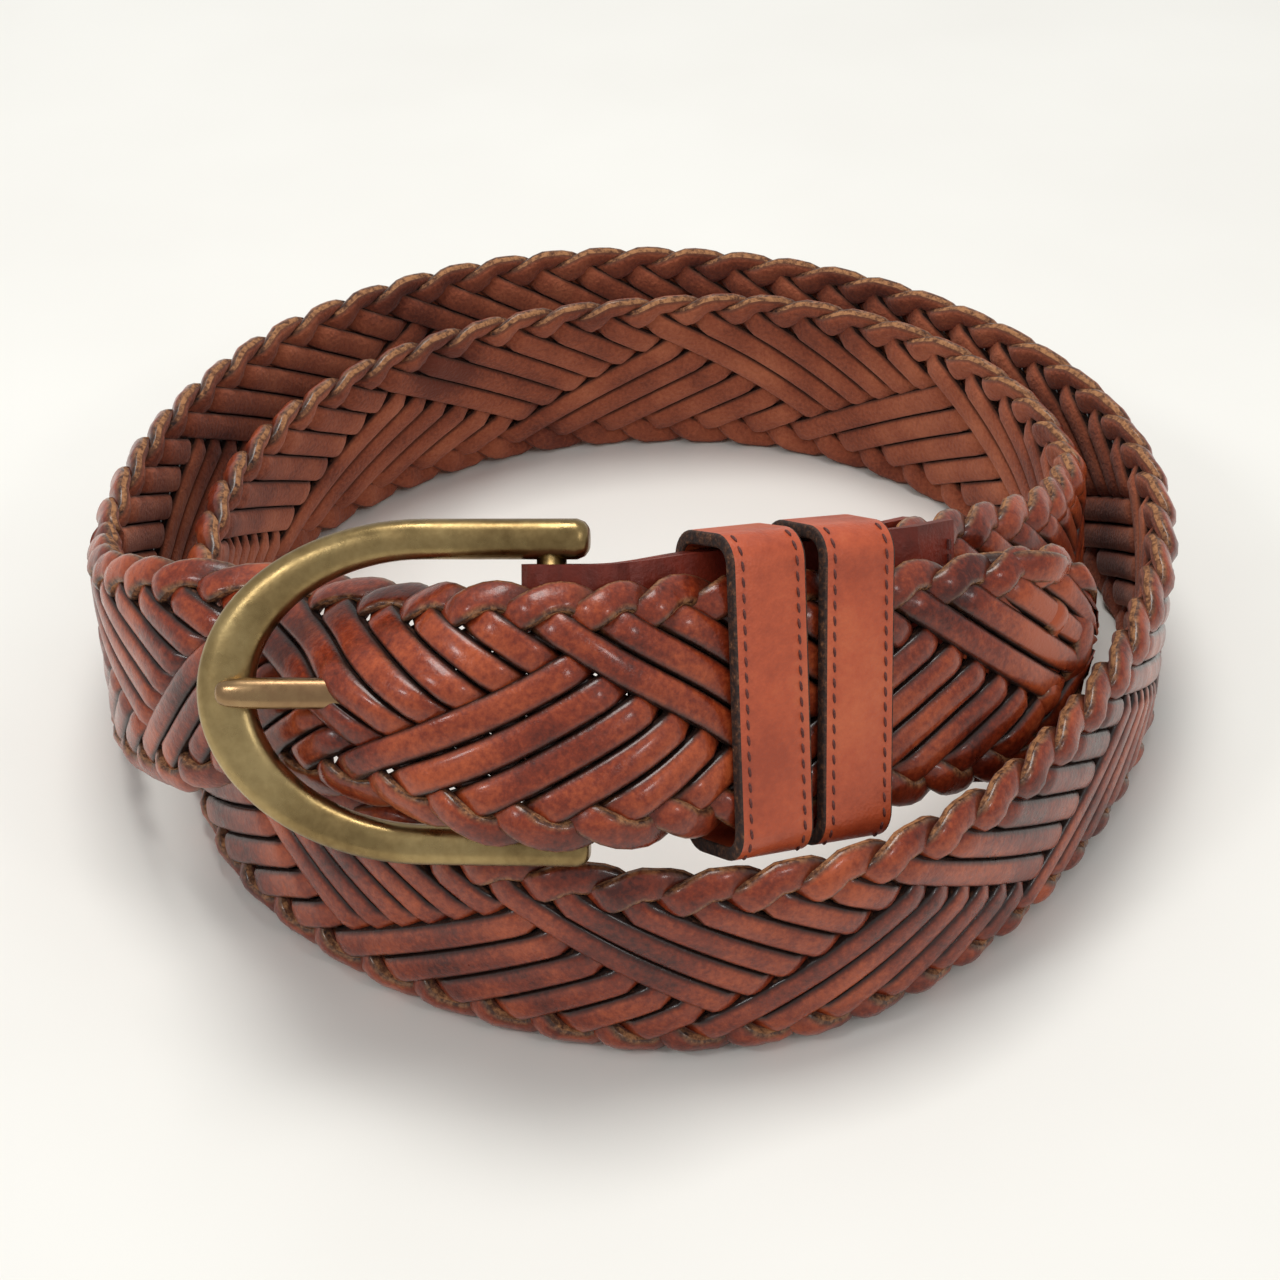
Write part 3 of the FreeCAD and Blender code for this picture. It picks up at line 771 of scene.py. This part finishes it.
def keeper(name, node, body, start):
    size = (KEEPER_LENGTH, KEEPER_W + 2 * KEEPER_WALL, KEEPER_N + 2 * KEEPER_WALL)
    bm = bmesh.new()
    bmesh.ops.create_cube(bm, size=1.0)
    bmesh.ops.scale(bm, vec=size, verts=bm.verts)
    bmesh.ops.translate(bm, vec=(KEEPER_LENGTH / 2, 0, 0), verts=bm.verts)
    bmesh.ops.delete(bm, geom=[f for f in bm.faces if abs(f.normal.x) > 0.9], context="FACES_ONLY")
    bmesh.ops.bevel(bm, geom=[e for e in bm.edges if not lies_across(e)], offset=KEEPER_ROUND,
                    affect="EDGES", segments=8, profile=0.5, material=-1)
    bmesh.ops.recalc_face_normals(bm, faces=bm.faces)
    bmesh.ops.solidify(bm, geom=bm.faces[:], thickness=KEEPER_WALL)
    bmesh.ops.recalc_face_normals(bm, faces=bm.faces)
    for face in bm.faces:
        face.material_index = 1 if abs(face.normal.x) > 0.9 else 0
    bmesh.ops.bevel(bm, geom=[e for e in bm.edges if is_rim(e)], offset=RIM_ROUND,
                    affect="EDGES", segments=3, profile=0.5, material=1)
    bmesh.ops.transform(bm, matrix=keeper_place(start), verts=bm.verts)
    return new_object(name, bm, [tan, cut_edge], body, [node])


keepers = [keeper("keeper_band_fixed", "keeper_fixed", "strap", KEEPER_FIRST),
           keeper("keeper_band_loose", "keeper_sliding", "loose_keeper", KEEPER_SECOND)]
print([k.name for k in keepers], "have", len(keepers[0].data.polygons), "faces each")

# %% [markdown]
# ## Stitching
#
# Waxed thread shows as short raised dashes, all at the same small angle to the row. A tube that
# goes in and out of the leather would be truer, but only the dashes can be seen. One stitch is a
# small ball, drawn out along the row and pressed flat, and the row is made of copies that follow
# the band round its corners.

# %% Thread
thread = Finish("waxed_thread", rough=0.6)
twist = thread.noise(thread.place(), 3500.0, 2.0)
thread.use("Base Color", thread.ramp(twist, (0.35, (0.055, 0.010, 0.008)), (0.65, (0.14, 0.028, 0.020))))
thread.bump(twist, 0.1)

STITCH, STITCH_PITCH = 1.5, 2.1
THREAD, THREAD_HIGH = 0.45, 0.3
STITCH_TURN = 0.14            # radians
ROW_FROM_EDGE = 1.5
ROW_ROUND_CORNER = 1.3        # radians
FLAT_HALF = KEEPER_W / 2 + KEEPER_WALL - KEEPER_ROUND


def on_band(along):
    """Places a stitch on the outside of a keeper, at a distance from the middle of its front."""
    turned = max(abs(along) - FLAT_HALF, 0) / KEEPER_ROUND
    y = min(abs(along), FLAT_HALF) + KEEPER_ROUND * math.sin(turned)
    drop = KEEPER_ROUND * (1 - math.cos(turned))
    return (Matrix.Translation((0, math.copysign(y, along), -drop))
            @ Matrix.Rotation(math.copysign(turned, -along), 4, "X"))


def keeper_stitches(name, node, body, start):
    bm = bmesh.new()
    count = int(2 * (FLAT_HALF + ROW_ROUND_CORNER * KEEPER_ROUND) / STITCH_PITCH)
    shape = Matrix.Rotation(STITCH_TURN, 4, "Z") @ Matrix.Diagonal((THREAD, STITCH, THREAD_HIGH * 2, 1))
    for x in (ROW_FROM_EDGE, KEEPER_LENGTH - ROW_FROM_EDGE):
        row = keeper_place(start) @ Matrix.Translation((x, 0, KEEPER_N / 2 + KEEPER_WALL))
        for i in range(count):
            place = row @ on_band((i - (count - 1) / 2) * STITCH_PITCH) @ shape
            bmesh.ops.create_uvsphere(bm, u_segments=8, v_segments=6, radius=0.5, matrix=place)
    print(name, "has two rows of", count)
    return new_object(name, bm, [thread], body, [node])


keeper_stitches("stitches_fixed", "keeper_fixed_stitching", "strap", KEEPER_FIRST)
keeper_stitches("stitches_loose", "keeper_sliding_stitching", "loose_keeper", KEEPER_SECOND)

# %% [markdown]
# ## Chape
#
# The chape is dark smooth leather, mostly hidden by the strap. Its solid already has the right
# shape, so it stays, and so does its thread. Only the materials in their slots change.

# %% Chape leather
chape_leather = Finish("chape_leather", rough=0.42, Coat_Weight=0.1, Coat_Roughness=0.25,
                       Specular_IOR_Level=0.3)
at = chape_leather.place()
chape_leather.use("Base Color", chape_leather.ramp(chape_leather.noise(at, 110.0, 4.0),
                                                   (0.35, (0.085, 0.009, 0.004)),
                                                   (0.65, (0.23, 0.027, 0.012))))
chape_leather.bump(chape_leather.noise(at, 1500.0, 3.0), 0.1)


def refinish(node, finish):
    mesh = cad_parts[node].data
    for i in range(len(mesh.materials)):
        mesh.materials[i] = finish.material
    print(node, "is now", finish.material.name)


refinish("chape", chape_leather)
refinish("chape_stitching", thread)


# %% [markdown]
# ## Old brass
#
# Antiqued brass is a metal with a brown-green film that has been rubbed off in places. Its colour
# and its roughness both change slowly over the piece, and fine scratches blur the highlights. The
# prong is handled more than the frame, so it is a little redder.

# %% Brass
def brass_finish(name, dark, middle, light):
    brass = Finish(name, rough=0.34, Metallic=1.0)
    at = brass.place()
    film = brass.patches(at, (45.0, 3.0), (800.0, 4.0), 0.3)
    brass.use("Base Color", brass.ramp(film, (0.35, dark), (0.5, middle), (0.68, light)))
    brass.use("Roughness", brass.ramp(brass.noise(at, 260.0, 3.0), (0.3, 0.22), (0.7, 0.40)))
    brass.bump(brass.noise(at, 1500.0, 3.0), 0.02)
    return brass


frame_brass = brass_finish("antique_brass", dark=(0.185, 0.122, 0.050), middle=(0.31, 0.218, 0.094),
                           light=(0.44, 0.325, 0.150))
prong_brass = brass_finish("prong_brass", dark=(0.20, 0.110, 0.055), middle=(0.29, 0.175, 0.090),
                           light=(0.38, 0.250, 0.125))
print("the buckle has", [f.material.name for f in (frame_brass, prong_brass)])

# %% [markdown]
# ## Buckle
#
# The buckle is drawn flat, with the outside of its bow at x = 0 and the heel bar at x = 48, and is
# then put in place by a matrix that turns and leans it.

# %% Where the buckle is
ARM_WIDTH, BOW_LENGTH, BOW_WIDTH = 5.4, 31.0, 7.8
BAR_FROM_BOW, ARM_PAST_BAR, FRAME_THICK = 48.0, 5.0, 5.0
OPEN_HALF = HALF_WIDTH + 0.1
BUCKLE_YAW, BUCKLE_PITCH, BUCKLE_LEAN = -5.2, 3.6, 34.0


def buckle_place():
    yaw, pitch, tilt = (math.radians(a) for a in (BUCKLE_YAW, BUCKLE_PITCH, BUCKLE_LEAN))
    along = Vector((math.cos(pitch) * math.cos(yaw), math.cos(pitch) * math.sin(yaw), math.sin(pitch)))
    level = (Vector((0, 0, 1)) - along * along.z).normalized()
    up = level * math.cos(tilt) - along.cross(level) * math.sin(tilt)
    bow = Vector(strap.points[0]) - along * BAR_FROM_BOW
    return frame_matrix(along, up, along.cross(up), bow)


BUCKLE_HIGH = 2 * (OPEN_HALF + ARM_WIDTH)
print("buckle is", BAR_FROM_BOW + ARM_PAST_BAR, "mm long and", round(BUCKLE_HIGH, 1), "mm high")

# %% [markdown]
# The frame could be cut from a plate, but the real one is cast with a rounded section that is
# wider at the bow than in the arms. So a round ring is spun through half a turn, its ends are
# extruded into the two arms, and each point is then moved between the inner and the outer outline.

# %% The ring and its arms
RING = 10.0                   # radius of the ring before it is stretched into the bow
RING_SECTION, RING_STEPS = 20, 48
ARM = BAR_FROM_BOW + ARM_PAST_BAR - BOW_LENGTH
END_ROUND = 1.6               # length over which the end of an arm is rounded
END_SHARE = 0.9
ARM_STEPS = (0.35 * ARM, 0.35 * ARM, 0.3 * ARM - END_ROUND, 1.0, 0.45, 0.15)


def horseshoe_ring():
    """Half a ring, with straight arms drawn out of its two ends along +x."""
    bm = bmesh.new()
    bmesh.ops.create_circle(bm, segments=RING_SECTION, radius=1.0)
    bmesh.ops.rotate(bm, cent=(0, 0, 0), matrix=Matrix.Rotation(math.pi / 2, 3, "Y"), verts=bm.verts)
    bmesh.ops.translate(bm, vec=(0, RING, 0), verts=bm.verts)
    bmesh.ops.spin(bm, geom=bm.verts[:] + bm.edges[:], cent=(0, 0, 0), axis=(0, 0, 1),
                   angle=math.pi, steps=RING_STEPS)
    for distance in ARM_STEPS:
        ends = [e for e in bm.edges if e.is_boundary]
        out = bmesh.ops.extrude_edge_only(bm, edges=ends)["geom"]
        verts = [v for v in out if isinstance(v, bmesh.types.BMVert)]
        bmesh.ops.translate(bm, vec=(distance, 0, 0), verts=verts)
    return bm


def round_end(co):
    """Shrinks the section of an arm near its end."""
    from_end = (co.x - (ARM - END_ROUND)) / END_ROUND
    if from_end <= 0:
        return co
    shrink = math.sqrt(max(1 - (END_SHARE * from_end) ** 2, 0))
    side = math.copysign(RING, co.y)
    return Vector((co.x, side + (co.y - side) * shrink, co.z * shrink))


print("arms are", ARM, "mm long")

# %% [markdown]
# A power below 1 pushes the points of a round section towards a square one, so the two powers
# below set how full the section is across and through the frame.

# %% Buckle frame
FULL_ACROSS, FULL_THROUGH = 0.85, 0.72


def full(c, power):
    return math.copysign(abs(c) ** power, c)


def buckle_outline(co):
    """Carries a point of the horseshoe ring to the buckle."""
    if co.x <= 0:
        radius = math.hypot(co.x, co.y)
        cos, sin, straight = -co.x / radius, co.y / radius, 0.0
    else:
        radius, cos, sin, straight = abs(co.y), 0.0, math.copysign(1, co.y), co.x
    share = (full(radius - RING, FULL_ACROSS) + 1) / 2
    length = BOW_LENGTH - BOW_WIDTH * (1 - share)
    return Vector((BOW_LENGTH - length * cos + straight, (OPEN_HALF + share * ARM_WIDTH) * sin,
                   full(co.z, FULL_THROUGH) * FRAME_THICK / 2))


def across_bar(bm, segments, radius, length):
    """Adds a round rod that lies along the heel bar."""
    place = Matrix.Translation((BAR_FROM_BOW, 0, 0)) @ Matrix.Rotation(math.pi / 2, 4, "X")
    bmesh.ops.create_cone(bm, cap_ends=True, segments=segments, radius1=radius, radius2=radius,
                          depth=length, matrix=place)


def buckle_frame():
    bm = horseshoe_ring()
    for v in bm.verts:
        v.co = buckle_outline(round_end(v.co))
    bmesh.ops.holes_fill(bm, edges=[e for e in bm.edges if e.is_boundary], sides=0)
    across_bar(bm, 20, BAR_R, 2 * OPEN_HALF + 3)
    bmesh.ops.recalc_face_normals(bm, faces=bm.faces)
    bmesh.ops.transform(bm, matrix=buckle_place(), verts=bm.verts)
    return new_object("buckle_cast_frame", bm, [frame_brass], "buckle", ["buckle_frame"])


print("buckle frame has", len(buckle_frame().data.polygons), "faces")

# %% [markdown]
# ## Prong
#
# The prong is a rounded finger of the same brass on a collar that turns on the heel bar. It rests
# on the bow and dives into the plait. It starts as a rod. `bisect_plane` cuts a loop into the rod
# at each station, and each loop then takes the place, the width and the thickness that its station
# gives. A curve with a taper could do it too, but not with a width and a thickness that differ.

# %% Prong
# x, height of the middle, half width and half thickness, from the tip to the heel bar.
PRONG_STATIONS = [(3.6, 3.95, 0.5, 0.5), (3.75, 3.98, 1.0, 0.95), (4.2, 4.05, 1.5, 1.35),
                  (5.2, 4.1, 1.85, 1.6), (7.5, 4.1, 2.05, 1.75), (11.0, 4.05, 2.1, 1.75),
                  (16.0, 3.75, 2.1, 1.6), (28.0, 3.1, 2.1, 1.65), (40.0, 2.5, 2.1, 1.7),
                  (48.0, 2.0, 2.1, 1.7)]
PRONG_FULL = 0.8
COLLAR_R, COLLAR_WIDTH = 3.7, 4.4


def prong():
    first, last = PRONG_STATIONS[0][0], PRONG_STATIONS[-1][0]
    lie_along_x = Matrix.Translation(((first + last) / 2, 0, 0)) @ Matrix.Rotation(math.pi / 2, 4, "Y")
    bm = bmesh.new()
    bmesh.ops.create_cone(bm, cap_ends=True, segments=20, radius1=1, radius2=1, depth=last - first,
                          matrix=lie_along_x)
    for x, *_ in PRONG_STATIONS[1:-1]:
        bmesh.ops.bisect_plane(bm, geom=bm.verts[:] + bm.edges[:] + bm.faces[:], plane_co=(x, 0, 0),
                               plane_no=(1, 0, 0))
    at, middle, wide, thick = np.array(PRONG_STATIONS).T
    for v in bm.verts:
        x = v.co.x
        v.co = Vector((x, full(v.co.y, PRONG_FULL) * np.interp(x, at, wide),
                       np.interp(x, at, middle) + full(v.co.z, PRONG_FULL) * np.interp(x, at, thick)))
    across_bar(bm, 24, COLLAR_R, COLLAR_WIDTH)
    bmesh.ops.transform(bm, matrix=buckle_place(), verts=bm.verts)
    return new_object("buckle_finger", bm, [prong_brass], "prong", ["buckle_prong"])


print("prong has", len(prong().data.polygons), "faces")
print("CAD nodes shown:", [n for n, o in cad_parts.items() if not o.hide_render])
